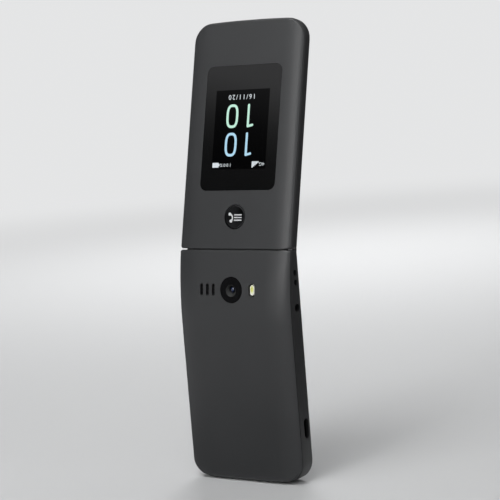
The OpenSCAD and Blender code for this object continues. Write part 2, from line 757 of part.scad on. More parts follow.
keypad_housing();
base_frame();
main_board();
dome_sheet();
battery();
battery_contacts();
sim_socket();
memory_card_socket();
camera_module();
camera_bezel();
camera_lens();
flash_lens();
loudspeaker();
vibration_motor();
headphone_jack();
usb_port();
base_screws();
hinge_shaft();
hinge_sleeve();
rear_cover();
speaker_mesh();
lid_frame();
lid_cover();
outer_window();
outer_display();
inner_window();
main_display();
lid_board();
lid_switch();
earpiece();
earpiece_mesh();
lid_bumpers();
lid_magnet();
hinge_cartridge();
lid_button();
key("key_1");  // key_1
key("key_2");  // key_2
key("key_3");  // key_3
key("key_4");  // key_4
key("key_5");  // key_5
key("key_6");  // key_6
key("key_7");  // key_7
key("key_8");  // key_8
key("key_9");  // key_9
key("key_star");  // key_star
key("key_0");  // key_0
key("key_hash");  // key_hash
key("key_soft_left");  // key_soft_left
key("key_soft_right");  // key_soft_right
key("key_camera");  // key_camera
key("key_message");  // key_message
key("key_call");  // key_call
key("key_back");  // key_back
key("key_end");  // key_end
nav_ring();
key_ok();
volume_rocker();
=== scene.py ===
import json
import math

import bmesh
import bpy
import numpy as np
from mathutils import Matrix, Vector


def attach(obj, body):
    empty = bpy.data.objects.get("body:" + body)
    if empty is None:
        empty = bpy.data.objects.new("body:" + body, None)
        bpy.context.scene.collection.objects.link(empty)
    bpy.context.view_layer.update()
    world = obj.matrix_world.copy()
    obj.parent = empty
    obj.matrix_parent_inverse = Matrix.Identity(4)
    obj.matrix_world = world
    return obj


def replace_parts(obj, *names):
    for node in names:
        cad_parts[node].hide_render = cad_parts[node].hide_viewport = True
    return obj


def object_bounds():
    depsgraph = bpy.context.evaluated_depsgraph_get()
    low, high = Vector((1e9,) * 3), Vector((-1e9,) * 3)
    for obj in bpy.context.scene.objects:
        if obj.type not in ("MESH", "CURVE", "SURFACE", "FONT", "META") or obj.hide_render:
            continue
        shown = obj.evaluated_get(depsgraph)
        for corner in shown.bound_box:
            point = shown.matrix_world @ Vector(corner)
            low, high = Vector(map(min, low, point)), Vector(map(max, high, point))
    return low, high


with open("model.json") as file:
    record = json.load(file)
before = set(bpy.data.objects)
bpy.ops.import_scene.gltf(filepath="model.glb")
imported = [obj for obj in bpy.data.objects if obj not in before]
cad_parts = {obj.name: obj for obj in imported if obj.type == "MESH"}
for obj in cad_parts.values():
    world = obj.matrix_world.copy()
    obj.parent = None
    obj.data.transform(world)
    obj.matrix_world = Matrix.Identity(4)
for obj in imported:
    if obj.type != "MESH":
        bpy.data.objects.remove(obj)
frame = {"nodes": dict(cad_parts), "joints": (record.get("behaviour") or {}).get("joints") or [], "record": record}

cad_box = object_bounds()


# ---- Studio camera ----
# A long lens behind the phone and a little above it, on the side of the sockets.
# It leans a few degrees, so that the phone leans in the frame.

camera_data = bpy.data.cameras.new("studio_camera")
camera_data.sensor_width = 36
camera_data.lens = 124.92
camera_data.clip_start = 0.05
camera = bpy.data.objects.new("studio_camera", camera_data)
camera.location = (-0.42199, 0.62585, 0.20116)
camera.rotation_euler = [math.radians(turn) for turn in (82.320, 4.568, -146.612)]
bpy.context.scene.collection.objects.link(camera)
bpy.context.scene.camera = camera


# ---- Studio ----
# A pale paper floor under a pale backdrop. The backdrop is the world as the camera, gloss and glass
# see it, and other things get less light from it. Far off, the floor's colour goes over into it.

backdrop = (0.78, 0.785, 0.79, 1)
floor_tone = (0.56, 0.565, 0.57, 1)
floor_near = 0.25
floor_far = 1.3
floor_reach = 6
ambient = 0.30

bpy.context.scene.view_settings.view_transform = "Standard"


def connect(node, inputs):
    """Fills a node's inputs: links an output, or a node's first one, and sets anything else as a value."""
    for label, value in inputs.items():
        if isinstance(value, bpy.types.Node):
            value = next(output for output in value.outputs if output.enabled)
        if isinstance(value, bpy.types.NodeSocket):
            node.id_data.links.new(value, node.inputs[label])
        else:
            node.inputs[label].default_value = value
    return node


def add(tree, kind, inputs=None, **settings):
    """A new shader node of a kind, with its own settings and its inputs."""
    node = tree.nodes.new("ShaderNode" + kind)
    for label, value in settings.items():
        setattr(node, label, value)
    return connect(node, inputs or {})


def own_place(tree):
    """A piece's Object coordinates, in m."""
    return add(tree, "TexCoord").outputs["Object"]


def room_level(tree):
    """The room's brightness: 1 to camera, glossy and transmission rays, ambient to diffuse light."""
    rays = add(tree, "LightPath").outputs
    level = rays["Is Camera Ray"]
    for kind in ("Is Glossy Ray", "Is Transmission Ray"):
        level = add(tree, "Math", {0: level, 1: rays[kind]}, operation="MAXIMUM")
    return add(tree, "MapRange", {"Value": level, "To Min": ambient})


def level_corners(low, high, height):
    """Corners of a level rectangle between two floor points."""
    return [(x, y, height) for x, y in (low, (high[0], low[1]), high, (low[0], high[1]))]


def studio_sheet(name, corners):
    """A quadrilateral beside the phone, and the node tree of its material."""
    mesh = bpy.data.meshes.new(name)
    mesh.from_pydata(corners, [], [(0, 1, 2, 3)])
    sheet = bpy.data.objects.new(name, mesh)
    bpy.context.scene.collection.objects.link(sheet)
    material = bpy.data.materials.new(name)
    material.use_nodes = True
    mesh.materials.append(material)
    return sheet, material.node_tree


world = bpy.data.worlds.new("studio")
world.use_nodes = True
bpy.context.scene.world = world
connect(world.node_tree.nodes["Background"], {"Color": backdrop, "Strength": room_level(world.node_tree)})

floor, paper = studio_sheet("floor", level_corners((-floor_reach,) * 2, (floor_reach,) * 2, 0))
floor.location.z = cad_box[0][2]
distance = add(paper, "VectorMath", {0: own_place(paper)}, operation="LENGTH")
fade = add(paper, "MapRange", {"Value": distance, "From Min": floor_near, "From Max": floor_far},
           interpolation_type="SMOOTHSTEP")
near = connect(paper.nodes["Principled BSDF"],
               {"Base Color": floor_tone, "Roughness": 0.9, "Specular IOR Level": 0.1})
far = add(paper, "Emission", {"Color": backdrop, "Strength": room_level(paper)})
connect(paper.nodes["Material Output"], {"Surface": add(paper, "MixShader", {0: fade, 1: near, 2: far})})


# ---- Lamps ----
# A tall soft box beside the camera gives the covers their sheen and the long edge its light line. One
# overhead lights the lid, a weak strip draws the other long edge, and one in front lights the keypad.

def soft_box(name, place, target, width, height, watts):
    """A rectangular area lamp at place whose face looks at target."""
    lamp = bpy.data.lights.new(name, "AREA")
    lamp.shape = "RECTANGLE"
    lamp.size, lamp.size_y, lamp.energy = width, height, watts
    box = bpy.data.objects.new(name, lamp)
    box.location = place
    box.rotation_euler = (Vector(target) - Vector(place)).to_track_quat("-Z", "Y").to_euler()
    bpy.context.scene.collection.objects.link(box)
    return box


soft_box("camera_side_box", (0.03, 0.85, 0.42), (0, 0, 0.14), width=0.25, height=0.55, watts=2.3)
soft_box("overhead_box", (0.0, 0.30, 0.80), (0, 0, 0.14), width=0.5, height=0.4, watts=3.4)
soft_box("edge_strip", (0.20, 0.87, 0.12), (0, 0, 0.06), width=0.08, height=0.2, watts=0.3)
keypad_box = soft_box("keypad_box", (0.40, -0.75, 0.50), (0, 0, 0.10), width=0.5, height=0.4, watts=6.0)
keypad_box.visible_glossy = False


# ---- Dark cards ----
# Black-to-grey cards stand and lie where gloss would mirror the bright room. They work on reflections
# only, because the camera and the light pass through them.

card_foot = -0.02
card_lift = 0.0008


def ramp(tree, value, stops):
    """The colour at a value, between stops of (position, colour)."""
    tones = add(tree, "ValToRGB", {"Fac": value})
    elements = tones.color_ramp.elements
    elements[0].position, elements[1].position = stops[0][0], stops[-1][0]
    for position, _ in stops[1:-1]:
        elements.new(position)
    for element, (_, colour) in zip(elements, stops):
        element.color = (*colour, 1)
    return tones


def upright_corners(first, last, top):
    """Corners of a rectangle that stands over the line between two floor points, up to a height."""
    return [(*first, card_foot), (*last, card_foot), (*last, top), (*first, top)]


def dark_card(name, corners, along, stops):
    """A card whose glow runs over stops of (distance in m along a direction, level)."""
    card, tree = studio_sheet(name, corners)
    card.visible_camera = card.visible_diffuse = card.visible_transmission = card.visible_shadow = False
    tree.nodes.remove(tree.nodes["Principled BSDF"])
    reach = add(tree, "VectorMath", {0: own_place(tree), 1: along}, operation="DOT_PRODUCT")
    greys = [(position, (level, level, level * 1.02)) for position, level in stops]
    glow = add(tree, "Emission", {"Color": ramp(tree, reach, greys)})
    connect(tree.nodes["Material Output"], {"Surface": glow})


dark_card("standing_card", upright_corners((1.05, 0.49), (0.15, 1.15), 0.95), (0, 0, 1),
          [(0, 0.03), (0.511, 0.04), (0.55, 0.12), (0.582, 0.33), (0.60, 0.45), (0.90, 0.5)])
dark_card("card_behind", upright_corners((-1.3, -0.9), (1.3, -0.9), 1.1), (0, 0, 1),
          [(0, 0.10), (0.5, 0.14), (1, 0.3)])
dark_card("card_beyond", upright_corners((1.3, -0.9), (1.05, 0.49), 1.1), (0, 0, 1),
          [(0, 0.10), (0.5, 0.12), (1, 0.2)])
dark_card("lying_card", level_corners((0, 0.022), (0.9, 0.9), card_lift), (1, 0, 0),
          [(0, 0.03), (0.05, 0.06), (0.16, 0.6), (0.4, 0.9)])
dark_card("lying_card_side", level_corners((-0.9, 0.022), (0, 0.9), card_lift), (-1, 0, 0),
          [(0, 0.03), (0.08, 0.45), (0.4, 0.6)])
dark_card("lying_card_beyond", level_corners((0.05, -0.9), (1.2, 0.02), card_lift), (1, 0, 0),
          [(0.05, 0.05), (0.2, 0.1), (1, 0.15)])
dark_card("lying_card_front", level_corners((-1.3, -0.9), (-0.04, -0.05), card_lift), (-1, 0, 0),
          [(0.04, 0.25), (0.1, 0.12), (1, 0.12)])


# ---- The two halves ----
# The lower half stands upright and the lid leans over the keypad, both hung on the hinge axis.
# Pieces are drawn as (across, depth from the axis outwards, distance from the axis) in each half.

hinge_record = next(joint for joint in frame["joints"] if joint["name"] == "lid_hinge")
hinge = np.array(hinge_record["pos_m"])
lean = math.radians(180 - hinge_record["range_deg"][1])
half_axes = {
    "base": np.array([[1, 0, 0], [0, 1, 0], [0, 0, -1]], float),
    "lid": np.array([[1, 0, 0], [0, math.cos(lean), math.sin(lean)], [0, -math.sin(lean), math.cos(lean)]]),
}
record = frame["record"]
body_of_node = {node: body for body, nodes in record["behaviour"]["bodies"].items() for node in nodes}


def half_of(node):
    """The half that a CAD node belongs to."""
    return "lid" if body_of_node[node].startswith("lid") else "base"


def placed(half, points):
    """Row coordinates of points of a half: hinge + x * across + depth * outwards + distance * along."""
    return hinge + points @ half_axes[half]


def read(items, label, width=3, kind=np.float32):
    """A property of a mesh's points, corners or faces as an array with width numbers a row."""
    rows = np.empty(len(items) * width, kind)
    items.foreach_get(label, rows)
    return rows.reshape(-1, width)


def extent(node):
    """Lowest and highest (across, depth, distance) of a CAD node in mm, measured in its half."""
    points = read(frame["nodes"][node].data.vertices, "co")
    inside = (points - hinge) @ half_axes[half_of(node)].T * 1000
    return inside.min(0), inside.max(0)


def middle(node):
    """The centre (across, distance) of a CAD node."""
    low, high = extent(node)
    return (low[0] + high[0]) / 2, (low[2] + high[2]) / 2


# ---- Moulded plastic ----
# The housings are dark grey moulded plastic with a fine spark-eroded grain and a satin sheen.
# Each plastic sets its own size of grain and how far its tone varies.

def effect(name, inputs, outputs):
    """A shader node group with named float sockets: the group, what it is given and its end node."""
    group = bpy.data.node_groups.new(name, "ShaderNodeTree")
    new_socket = group.interface.new_socket
    new_socket("Vector", in_out="INPUT", socket_type="NodeSocketVector")
    for label, value in inputs.items():
        new_socket(label, in_out="INPUT", socket_type="NodeSocketFloat").default_value = value
    for label in outputs:
        new_socket(label, in_out="OUTPUT", socket_type="NodeSocketFloat")
    return group, group.nodes.new("NodeGroupInput").outputs, group.nodes.new("NodeGroupOutput")


# Moulded grain: fine noise gives the height, coarse noise the drift of tone and of gloss.
moulded_grain, given, group_end = effect("moulded grain", {"Grain per metre": 2600}, ["Height", "Tone"])
fine = {"Vector": given["Vector"], "Scale": given["Grain per metre"], "Detail": 3, "Roughness": 0.6}
coarse = {"Vector": given["Vector"], "Scale": 40, "Detail": 4}
connect(group_end, {"Height": add(moulded_grain, "TexNoise", fine),
                    "Tone": add(moulded_grain, "TexNoise", coarse)})


def finish(name, colour, roughness, metallic=0.0, **constants):
    """A material, its node tree and its Principled shader, whose own sockets take the plain values."""
    material = bpy.data.materials.new(name)
    material.use_nodes = True
    material.diffuse_color = (*colour, 1)
    shader = connect(material.node_tree.nodes["Principled BSDF"],
                     {"Base Color": (*colour, 1), "Roughness": roughness, "Metallic": metallic})
    connect(shader, {label.replace("_", " "): value for label, value in constants.items()})
    return material, material.node_tree, shader


def mixed(tree, share, low, high):
    """The colour between low and high at a share."""
    return add(tree, "Mix", {"Factor": share, "A": (*low, 1), "B": (*high, 1)}, data_type="RGBA")


def drifted(tree, tone, colour, least, most):
    """A colour that a tone carries from least to most times itself."""
    return mixed(tree, tone, *([min(1, part * times) for part in colour] for times in (least, most)))


def bumped(tree, height, strength, depth, under=None):
    """Normals of a surface with a height pressed depth mm into it, on those of the surface under it."""
    inputs = {"Height": height, "Strength": strength, "Distance": depth / 1000}
    return add(tree, "Bump", inputs | ({"Normal": under} if under else {}))


def surface_effect(tree, group, label, value):
    """The tone and the height that an effect gives with one value set."""
    made = add(tree, "Group", {"Vector": own_place(tree), label: value}, node_tree=group)
    return made.outputs["Tone"], made.outputs["Height"]


def moulded(name, colour, roughness, grain=2600, depth=0.03, drift=0.12, **constants):
    """Grained plastic: the tone drifts the colour and the gloss, the grain is a bump of depth mm."""
    material, tree, shader = finish(name, colour, roughness, **constants)
    tone, height = surface_effect(tree, moulded_grain, "Grain per metre", grain)
    gloss = {"Value": tone, "To Min": roughness * (1 - drift / 2), "To Max": roughness * (1 + drift / 2)}
    connect(shader, {"Base Color": drifted(tree, tone, colour, 1 - drift, 1 + drift),
                     "Roughness": add(tree, "MapRange", gloss),
                     "Normal": bumped(tree, height, 0.35, depth)})
    return material


def dress(material, *nodes):
    """Gives CAD nodes their finish."""
    for node in nodes:
        frame["nodes"][node].data.materials[0] = material


def fitted(name, mesh, material, like, sharp):
    """An object of a mesh, smooth apart from edges over sharp degrees, with the body of the CAD node that
    it is like."""
    mesh.shade_smooth()
    mesh.set_sharp_from_angle(angle=math.radians(sharp))
    mesh.materials.clear()
    mesh.materials.append(material)
    made = bpy.data.objects.new(name, mesh)
    bpy.context.scene.collection.objects.link(made)
    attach(made, body_of_node[like])
    return made


def skin(node, material, reshape=None, cuts=()):
    """A smooth skin for a CAD node: doubles merged, flat neighbours joined, normals weighted by face
    area. It is cut at each x of cuts, and reshape moves its points, rows in m given with their mesh."""
    mesh = bpy.data.meshes.new(node + "_skin")
    shape = bmesh.new()
    shape.from_mesh(frame["nodes"][node].data)
    bmesh.ops.remove_doubles(shape, verts=shape.verts, dist=2e-6)
    for x in cuts:
        everything = shape.verts[:] + shape.edges[:] + shape.faces[:]
        bmesh.ops.bisect_plane(shape, geom=everything, plane_co=(x, 0, 0), plane_no=(1, 0, 0))
    if reshape:
        shape.to_mesh(mesh)
        points = reshape(read(mesh.vertices, "co"), mesh)
        mesh.vertices.foreach_set("co", points.astype(np.float32).reshape(-1))
        shape.clear()
        shape.from_mesh(mesh)
    bmesh.ops.dissolve_limit(shape, angle_limit=math.radians(0.4), verts=shape.verts, edges=shape.edges)
    shape.to_mesh(mesh)
    shape.free()
    if mesh.has_custom_normals:
        mesh.attributes.remove(mesh.attributes["custom_normal"])
    made = fitted(node + "_skin", mesh, material, node, sharp=32)
    weighted = made.modifiers.new("weighted normals", "WEIGHTED_NORMAL")
    weighted.keep_sharp = True
    weighted.weight = 80
    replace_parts(made, node)
    return made


# ---- Chassis ----
# A glass-filled nylon frame a little darker than the covers. Its side walls hold the sockets and the
# strap eye, and the deck on it carries the battery and what else lies under the battery cover.

frame_plastic = moulded("satin frame plastic", (0.019, 0.0195, 0.0205), 0.40)
skin("base_frame", frame_plastic)


# ---- Circuit boards ----
# Glass-fibre boards under green solder mask, held between the two halves of each housing. Copper runs
# lie under the mask as paler bands: square cells, read back and forth in narrow steps, give them.

solder_mask = moulded("green solder mask", (0.012, 0.075, 0.038), 0.32, grain=1400, depth=0.02)
tree = solder_mask.node_tree
cells = add(tree, "TexVoronoi", {"Vector": own_place(tree), "Scale": 260}, distance="CHEBYCHEV")
runs = add(tree, "Math", {0: cells, 1: 0.09}, operation="PINGPONG")
run_edge = add(tree, "MapRange", {"Value": runs, "From Min": 0.035, "From Max": 0.05})
mask_tone = mixed(tree, run_edge, (0.010, 0.060, 0.032), (0.030, 0.140, 0.070))
connect(tree.nodes["Principled BSDF"], {"Base Color": mask_tone})
dress(solder_mask, "main_board", "lid_board")


# ---- Sheet metal, screws and pins ----
# Card sockets, the motor's can, the magnet, the snap domes, the screws and the hinge pins are bright
# steel, rolled or drawn in one direction, so fine lines run along them.

# Brushed lines: noise squeezed along X gives the height, a finer one the tone.
brushed_lines, given, group_end = effect("brushed lines", {"Lines per metre": 3000}, ["Height", "Tone"])
squeeze = {0: given["Vector"], 1: (0.025, 1, 1)}
squeezed = add(brushed_lines, "VectorMath", squeeze, operation="MULTIPLY")
for label, detail in (("Height", 2), ("Tone", 5)):
    lines = {"Vector": squeezed, "Scale": given["Lines per metre"], "Detail": detail}
    connect(group_end, {label: add(brushed_lines, "TexNoise", lines)})


def brushed(name, colour, roughness):
    """Rolled or drawn metal: the lines drift its tone by 15% and press 0.01 mm into it."""
    material, tree, shader = finish(name, colour, roughness, 1.0)
    tone, height = surface_effect(tree, brushed_lines, "Lines per metre", 3000)
    connect(shader, {"Base Color": drifted(tree, tone, colour, 0.85, 1.15),
                     "Normal": bumped(tree, height, 0.3, 0.01)})
    return material


bright_steel = brushed("rolled steel", (0.52, 0.53, 0.54), 0.30)
dress(bright_steel, "sim_socket", "memory_card_socket", "vibration_motor", "base_screws", "hinge_shaft",
      "hinge_sleeve", "lid_magnet", "dome_sheet")


# ---- Contacts and bushes ----
# The battery's spring blades and the button's snap dome are gold plated over nickel. The detent
# cartridge in the lid's barrel is turned brass.

gold_plate = brushed("gold plate", (0.83, 0.62, 0.28), 0.22)
dress(gold_plate, "battery_contacts", "lid_switch", "hinge_cartridge")


# ---- Battery ----
# A flat lithium pack in a dark grey moulded case that drops into its bay against the spring blades.
# It has fine ribs along it: a wave across X gives their height.

battery_wrap = moulded("battery wrap", (0.020, 0.021, 0.023), 0.5, grain=900, depth=0.05)
tree = battery_wrap.node_tree
ribs = add(tree, "TexWave", {"Vector": own_place(tree), "Scale": 160}, bands_direction="X")
ribbed = bumped(tree, ribs.outputs["Fac"], 0.25, 0.05, under=tree.nodes["Bump"])
connect(tree.nodes["Principled BSDF"], {"Normal": ribbed})
dress(battery_wrap, "battery")


# ---- Small inner mouldings ----
# The camera's housing, the loudspeaker's basket and the earpiece are black nylon mouldings that
# drop into pockets of the frames.

dark_plastic = moulded("black inner plastic", (0.010, 0.010, 0.011), 0.5, grain=1800)
dress(dark_plastic, "camera_module", "loudspeaker", "earpiece")


# ---- Loudspeaker ----
# A thin doped film stretched over the basket's mouth, with a stiff oval dome pressed in its middle.
# It shows when the battery cover is off.

def woven(grid, loop=False):
    """A grid's points, faces and turns. Its columns go round, and with loop its rows as well."""
    rows, columns = grid.shape[:2]
    row, column = np.meshgrid(np.arange(rows if loop else rows - 1), np.arange(columns), indexing="ij")
    corners = (row, column), (row, column + 1), (row + 1, column + 1), (row + 1, column)
    faces = np.stack([r % rows * columns + c % columns for r, c in corners], -1)
    turns = np.stack([np.stack([c / columns, r / rows], -1) for r, c in corners], -2)
    return grid.reshape(-1, 3), faces.reshape(-1, 4), turns.reshape(-1, 2)


def piece(name, shapes, material, like):
    """One object made of closed shapes in mm, in the half of the node it is like: doubles merged, faces
    turned outwards. Its UV map runs round and along each shape."""
    starts = np.cumsum([0] + [len(points) for points, _, _ in shapes])
    points = np.concatenate([points for points, _, _ in shapes])
    faces = [face.tolist() for start, (_, rows, _) in zip(starts, shapes) for face in rows + start]
    mesh = bpy.data.meshes.new(name)
    mesh.from_pydata(placed(half_of(like), points / 1000), [], faces)
    turns = np.concatenate([turn for _, _, turn in shapes]).astype(np.float32)
    mesh.uv_layers.new(name="turning").data.foreach_set("uv", turns.reshape(-1))
    shape = bmesh.new()
    shape.from_mesh(mesh)
    bmesh.ops.remove_doubles(shape, verts=shape.verts, dist=1e-7)
    bmesh.ops.recalc_face_normals(shape, faces=shape.faces)
    shape.to_mesh(mesh)
    shape.free()
    return fitted(name, mesh, material, like, sharp=35)


def rounded(width, length, radius, steps=48):
    """A rounded rectangle of steps points (across, along): a circle, moved out to each corner."""
    turn = (np.arange(steps) + 0.5) * 2 * math.pi / steps
    square = np.stack([np.cos(turn), np.sin(turn)], -1)
    return square * radius + np.sign(square) * (np.array([width, length]) / 2 - radius)


def crowned(centre, width, length, radius, levels, steps=48):
    """Stacked rounded rectangles: each level (inset, depth) draws the outline in by inset, or into its
    middle for None, at a depth that is a number or a surface over (across, along)."""
    grid = np.empty((len(levels), steps, 3))
    for row, (inset, depth) in enumerate(levels):
        if inset is None:
            ring = np.zeros((steps, 2))
        else:
            ring = rounded(width - 2 * inset, length - 2 * inset, max(radius - inset, 0.05), steps)
        across, along = (ring + centre).T
        depths = depth(across, along) if callable(depth) else across * 0 + depth
        grid[row] = np.stack([across, depths, along], -1)
    return woven(grid)


def stand_in(name, shapes, material, node):
    """A piece that replaces a CAD node."""
    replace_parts(piece(name, shapes, material, node), node)


film = extent("loudspeaker")[1][1] - 0.25
film_levels = [(None, film - 0.1), (0, film - 0.1), (0, film), (0.9, film + 0.02), (1.3, film + 0.16),
               (1.9, film + 0.16), (2.3, film), (2.7, film), (3.0, film + 0.12), (3.8, film + 0.2),
               (None, film + 0.22)]
film_shape = crowned(middle("loudspeaker"), width=12.3, length=9.3, radius=2, levels=film_levels)
speaker_film = moulded("speaker film", (0.030, 0.028, 0.026), 0.28, grain=700, depth=0.02)
piece("speaker_film", [film_shape], speaker_film, "loudspeaker")


# ---- Headphone socket ----
# A black moulding behind the side wall, soldered to the circuit board.
# The nickel sleeve at its mouth touches the plug's barrel.

def turned(centre, profile, steps=96, axis=1, loop=False):
    """A surface of revolution about an axis through centre: each (radius, place on the axis) of the
    profile goes round it."""
    turn = np.arange(steps) * 2 * math.pi / steps
    radius, on_axis = np.array(profile, float).T[:, :, None]
    grid = np.empty((len(profile), steps, 3))
    grid[..., axis] = on_axis
    grid[..., 1 if axis == 0 else 0] = centre[0] + radius * np.cos(turn)
    grid[..., 2] = centre[1] + radius * np.sin(turn)
    return woven(grid, loop)


dress(dark_plastic, "headphone_jack")
jack = next(mount for mount in record["mounts"] if mount["name"] == "headphone_socket")
jack_centre = (np.array(jack["pos_m"]) - hinge) @ half_axes["base"].T * 1000
sleeve_radius = jack["dims"]["r_mm"] - 0.02
sleeve_mouth = extent("base_frame")[0][0] + 2.2
sleeve_foot = sleeve_mouth + 1.4
sleeve = [(sleeve_radius, sleeve_mouth), (sleeve_radius, sleeve_foot), (sleeve_radius - 0.1, sleeve_foot),
          (sleeve_radius - 0.1, sleeve_mouth + 0.15), (sleeve_radius - 0.04, sleeve_mouth)]
nickel = brushed("nickel plate", (0.25, 0.245, 0.235), 0.3)
sleeve_shape = turned(jack_centre[1:], sleeve, 64, axis=0, loop=True)
piece("headphone_sleeve", [sleeve_shape], nickel, "usb_port")


# ---- Data socket ----
# A folded, blackened steel shell round a black tongue with five gold contacts.
# It is soldered to the circuit board.

port_black = brushed("blackened steel", (0.010, 0.010, 0.011), 0.45)
dress(port_black, "usb_port")
port_low, port_high = extent("usb_port")
port_centre = (port_low + port_high)[1:] / 2
tongue_half = np.array([0.42, 3.37])
tongue_low = (port_low[0] + 1.15, *(port_centre - tongue_half))
tongue_high = (port_high[0] - 1, *(port_centre + tongue_half))
contact_places = port_centre[1] + np.arange(-2.6, 2.7, 1.3)
contact_half = 0.2
tongue_black = moulded("socket tongue", (0.008, 0.008, 0.009), 0.45, grain=2200)


def slab(low, high, edge):
    """A block between two corners whose four long edges across the phone are rounded by edge."""
    centre = (low[1] + high[1]) / 2, (low[2] + high[2]) / 2
    grid = np.empty((4, 24, 3))
    grid[..., 0] = np.array([low[0], low[0], high[0], high[0]])[:, None]
    grid[..., 1:] = centre + rounded(high[1] - low[1], high[2] - low[2], edge, 24)
    grid[[0, 3], :, 1:] = centre
    return woven(grid)


piece("port_tongue", [slab(tongue_low, tongue_high, 0.15)], tongue_black, "headphone_jack")
contacts = [slab((tongue_low[0] + 0.25, tongue_low[1] - 0.04, place - contact_half),
                 (tongue_high[0] - 0.5, tongue_low[1] + 0.1, place + contact_half), 0.05)
            for place in contact_places]
piece("port_contacts", contacts, gold_plate, "battery_contacts")


# ---- Keypad housing ----
# The front of the lower half, moulded in the covers' grey. The keys come through its panel, and the two
# hinge knuckles stand at its end in one piece with it.

shell_plastic = moulded("satin shell plastic", (0.029, 0.030, 0.0315), 0.42)
skin("keypad_housing", shell_plastic)


# ---- Keys ----
# Hard black caps with softly crowned tops and printed legends. Each has a flange behind the panel and a
# nub that presses its snap dome.

key_plastic = moulded("key plastic", (0.012, 0.0125, 0.0135), 0.34, grain=3200, depth=0.015)
legend_white, legend_green, legend_red = (
    moulded("legend " + tone, colour, 0.45, depth=0.005, drift=0.04) for tone, colour in
    (("white", (0.62, 0.63, 0.64)), ("green", (0.035, 0.42, 0.09)), ("red", (0.55, 0.025, 0.02))))
key_crown = 0.16
key_corner = 1.4
key_flange = 0.4
flange_thickness = 0.3
nub_length = 0.55
legend_proud = 0.012
legend_sunk = 0.05


def key_surface(low, high):
    """Depth of a key's top: a parabola across and along that is highest in its middle."""
    centre, half = (low + high) / 2, (high - low) / 2

    def depth(across, along):
        share = ((across - centre[0]) / half[0]) ** 2 + ((along - centre[2]) / half[2]) ** 2
        return low[1] + 0.02 + key_crown * share / 2
    return depth


def printed(name, shapes, at, surface, material, like, outwards=-1):
    """A piece of flat shapes (right, up, layer) put on a surface, their up towards the hinge: layer 1
    stands just proud of it, layer 0 under it. outwards is the sign of the depth."""
    laid = []
    for flat, faces, turns in shapes:
        across, along = at[0] + flat[:, 0], at[1] - flat[:, 1]
        height = np.where(flat[:, 2] > 0.5, legend_proud, -legend_sunk)
        depth = surface(across, along) + outwards * height
        laid.append((np.stack([across, depth, along], -1), faces, turns))
    piece(name, laid, material, like)


def lettering(text, size, spacing=1.1):
    """Flat closed shapes of a line of text, size mm high and centred, as (right, up, layer)."""
    curve = bpy.data.curves.new("lettering", "FONT")
    curve.body, curve.size, curve.space_character = text, size, spacing
    curve.align_x = curve.align_y = "CENTER"
    curve.extrude = 0.5
    curve.resolution_u = 3
    holder = bpy.data.objects.new("lettering", curve)
    mesh = bpy.data.meshes.new_from_object(holder)
    points = read(mesh.vertices, "co").astype(float)
    shape = bmesh.new()
    shape.from_mesh(mesh)
    bmesh.ops.triangulate(shape, faces=shape.faces)
    faces = np.array([[corner.index for corner in face.verts] for face in shape.faces])
    shape.free()
    bpy.data.objects.remove(holder)
    points[:, 2] = points[:, 2] > 0
    return points, faces, np.zeros((faces.size, 2))


def stroke(path, width, loop=False):
    """A flat line along path, width mm wide (one value, or one for each point), with round ends."""
    path = np.array(path, float)
    half = np.broadcast_to(np.asarray(width, float) / 2, len(path)).copy()
    ahead = (np.roll(path, -1, 0) - np.roll(path, 1, 0)) if loop else np.gradient(path, axis=0)
    ahead /= np.linalg.norm(ahead, axis=1)[:, None]
    if not loop:
        turn = np.radians([0, 25, 50, 75])[:, None]
        first = path[0] - ahead[0] * half[0] * np.cos(turn)
        last = path[-1] + ahead[-1] * half[-1] * np.cos(turn[::-1])
        half = np.concatenate([half[0] * np.sin(turn[:, 0]), half, half[-1] * np.sin(turn[::-1, 0])])
        path = np.concatenate([first, path, last])
        ahead = np.concatenate([ahead[:1].repeat(4, 0), ahead, ahead[-1:].repeat(4, 0)])
    side = np.stack([-ahead[:, 1], ahead[:, 0]], -1) * half[:, None]
    grid = np.empty((len(path), 4, 3))
    grid[:, [0, 3], :2] = (path + side)[:, None]
    grid[:, [1, 2], :2] = (path - side)[:, None]
    grid[:, [0, 1], 2] = 1
    grid[:, [2, 3], 2] = 0
    return woven(grid, loop)


def line(*corners, width=0.3):
    """A straight or bent line through corners."""
    return stroke(corners, width)


def bend(centre, radius):
    """The right half of a circle, from its top to its bottom."""
    turn = np.radians(np.linspace(90, -90, 16))
    return stroke(centre + radius * np.stack([np.cos(turn), np.sin(turn)], -1), 0.3)


def oval(centre, width, height, thick, squareness=2.0):
    """A closed ring on a superellipse: squareness 2 is an ellipse, more is closer to a rectangle."""
    turn = np.arange(48) * 2 * math.pi / 48
    around = np.stack([np.cos(turn), np.sin(turn)], -1)
    bulge = np.sign(around) * np.abs(around) ** (2 / squareness)
    return stroke(centre + bulge * (width - thick, height - thick) / 2, thick, loop=True)


def moved(flat, right, up, turn=0.0):
    """A flat shape turned by turn degrees and moved."""
    points, faces, turns = flat
    c, s = math.cos(math.radians(turn)), math.sin(math.radians(turn))
    spun = points[:, 0] * c - points[:, 1] * s + right, points[:, 0] * s + points[:, 1] * c + up
    return np.stack([*spun, points[:, 2]], -1), faces, turns


def handset(size):
    """A telephone handset: an arc that is thin in the middle and thick at both ends."""
    turn = np.radians(np.linspace(205, 335, 23))
    swell = 0.16 + 0.24 * np.abs(np.linspace(-1, 1, 23)) ** 3
    return stroke(np.stack([np.cos(turn), np.sin(turn) + 0.62], -1) * size * 0.46, swell * size)


